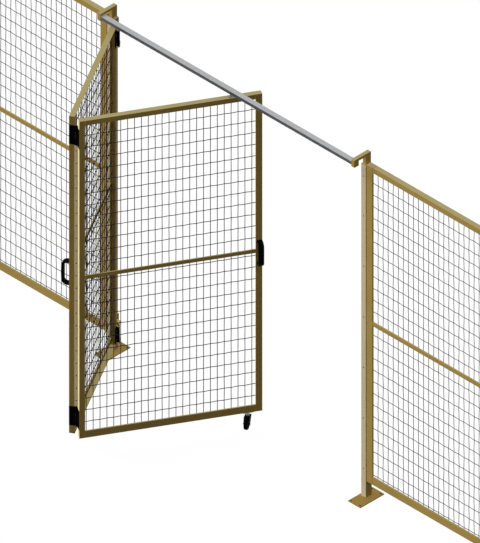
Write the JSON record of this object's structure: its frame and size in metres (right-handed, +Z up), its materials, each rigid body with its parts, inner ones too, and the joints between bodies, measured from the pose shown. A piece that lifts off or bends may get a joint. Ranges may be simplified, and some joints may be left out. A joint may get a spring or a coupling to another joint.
{
  "type": "wire mesh partition with folding door",
  "caption": "Gold-painted wire mesh partition with beige posts on base plates and a folding door of hinged mesh leaves, guided by an overhead rail and a swivel castor.",
  "frame": {"origin": "axis of the hinge post at floor level, on the underside of its base plate", "axes": "+X along the wall from the hinge post to the latch post, +Y through the wall away from the side the door folds out to, +Z up"},
  "size_m": [4.5, 0.918, 2.245],
  "materials": {
    "gold_paint": "satin powder coat in old gold",
    "beige_paint": "satin powder coat in beige",
    "galvanised_wire": "dull galvanised wire",
    "zinc_plated_steel": "zinc plated steel",
    "black_paint": "satin black paint",
    "black_plastic": "matte black plastic",
    "wheel_rubber": "black rubber"
  },
  "bodies": {
    "frame": {"guide_rail": "zinc_plated_steel", "hinge_post": "beige_paint", "hinge_post_foot": "gold_paint", "hinge_post_rail_bracket": "gold_paint", "latch_post": "beige_paint", "latch_post_foot": "gold_paint", "latch_post_rail_bracket": "gold_paint", "left_end_post": "beige_paint", "left_end_post_cap": "black_plastic", "left_end_post_foot": "gold_paint", "left_panel_bottom_rail": "gold_paint", "left_panel_left_lower_clip": "black_plastic", "left_panel_left_stile": "gold_paint", "left_panel_left_upper_clip": "black_plastic", "left_panel_mesh": "galvanised_wire", "left_panel_mid_rail": "gold_paint", "left_panel_right_lower_clip": "black_plastic", "left_panel_right_stile": "gold_paint", "left_panel_right_upper_clip": "black_plastic", "left_panel_top_rail": "gold_paint", "post_hinge_lower_arm": "gold_paint", "post_hinge_upper_arm": "gold_paint", "right_end_post": "beige_paint", "right_end_post_cap": "black_plastic", "right_end_post_foot": "gold_paint", "right_panel_bottom_rail": "gold_paint", "right_panel_left_lower_clip": "black_plastic", "right_panel_left_stile": "gold_paint", "right_panel_left_upper_clip": "black_plastic", "right_panel_mesh": "galvanised_wire", "right_panel_mid_rail": "gold_paint", "right_panel_right_lower_clip": "black_plastic", "right_panel_right_stile": "gold_paint", "right_panel_right_upper_clip": "black_plastic", "right_panel_top_rail": "gold_paint"},
    "leaf_1": {"first_leaf_bottom_rail": "gold_paint", "first_leaf_fold_stile": "gold_paint", "first_leaf_handle": "black_paint", "first_leaf_hinge_stile": "gold_paint", "first_leaf_mesh": "galvanised_wire", "first_leaf_mid_rail": "gold_paint", "first_leaf_top_rail": "gold_paint", "fold_hinge_lower_first_half": "black_paint", "fold_hinge_upper_first_half": "black_paint", "post_hinge_lower_leaf": "black_paint", "post_hinge_upper_leaf": "black_paint"},
    "leaf_2": {"castor_stem": "zinc_plated_steel", "fold_hinge_lower_second_half": "black_paint", "fold_hinge_upper_second_half": "black_paint", "guide_roller_stem": "zinc_plated_steel", "second_leaf_bottom_rail": "gold_paint", "second_leaf_fold_stile": "gold_paint", "second_leaf_handle": "black_paint", "second_leaf_lead_stile": "gold_paint", "second_leaf_mesh": "galvanised_wire", "second_leaf_mid_rail": "gold_paint", "second_leaf_top_rail": "gold_paint"},
    "guide_roller": {"guide_roller": "black_plastic"},
    "castor_fork": {"castor_fork": "black_paint"},
    "castor_wheel": {"castor_wheel": "wheel_rubber"}
  },
  "joints": [
    {"name": "post_hinge", "type": "hinge", "parent": "frame", "child": "leaf_1", "pos_m": [0.1025, -0.058, 0.179], "axis": [0, 0, 1], "range_deg": [-15, 60]},
    {"name": "fold_hinge", "type": "hinge", "parent": "leaf_1", "child": "leaf_2", "pos_m": [0.5315, -0.80105, 0.225], "axis": [0, 0, 1], "range_deg": [-120, 30]},
    {"name": "guide_roller_spin", "type": "hinge", "parent": "leaf_2", "child": "guide_roller", "pos_m": [0.97665, -0.08603, 2.2185], "axis": [0, 0, 1], "continuous": true},
    {"name": "castor_swivel", "type": "hinge", "parent": "leaf_2", "child": "castor_fork", "pos_m": [1.02375, -0.00445, 0.079], "axis": [0, 0, 1], "continuous": true},
    {"name": "castor_wheel_spin", "type": "hinge", "parent": "castor_fork", "child": "castor_wheel", "pos_m": [1.03375, -0.02177, 0.0396], "axis": [0.866, 0.5, 0], "continuous": true}
  ],
  "couplings": [
    {"joint": "fold_hinge", "follows": "post_hinge", "ratio": -2}
  ]
}
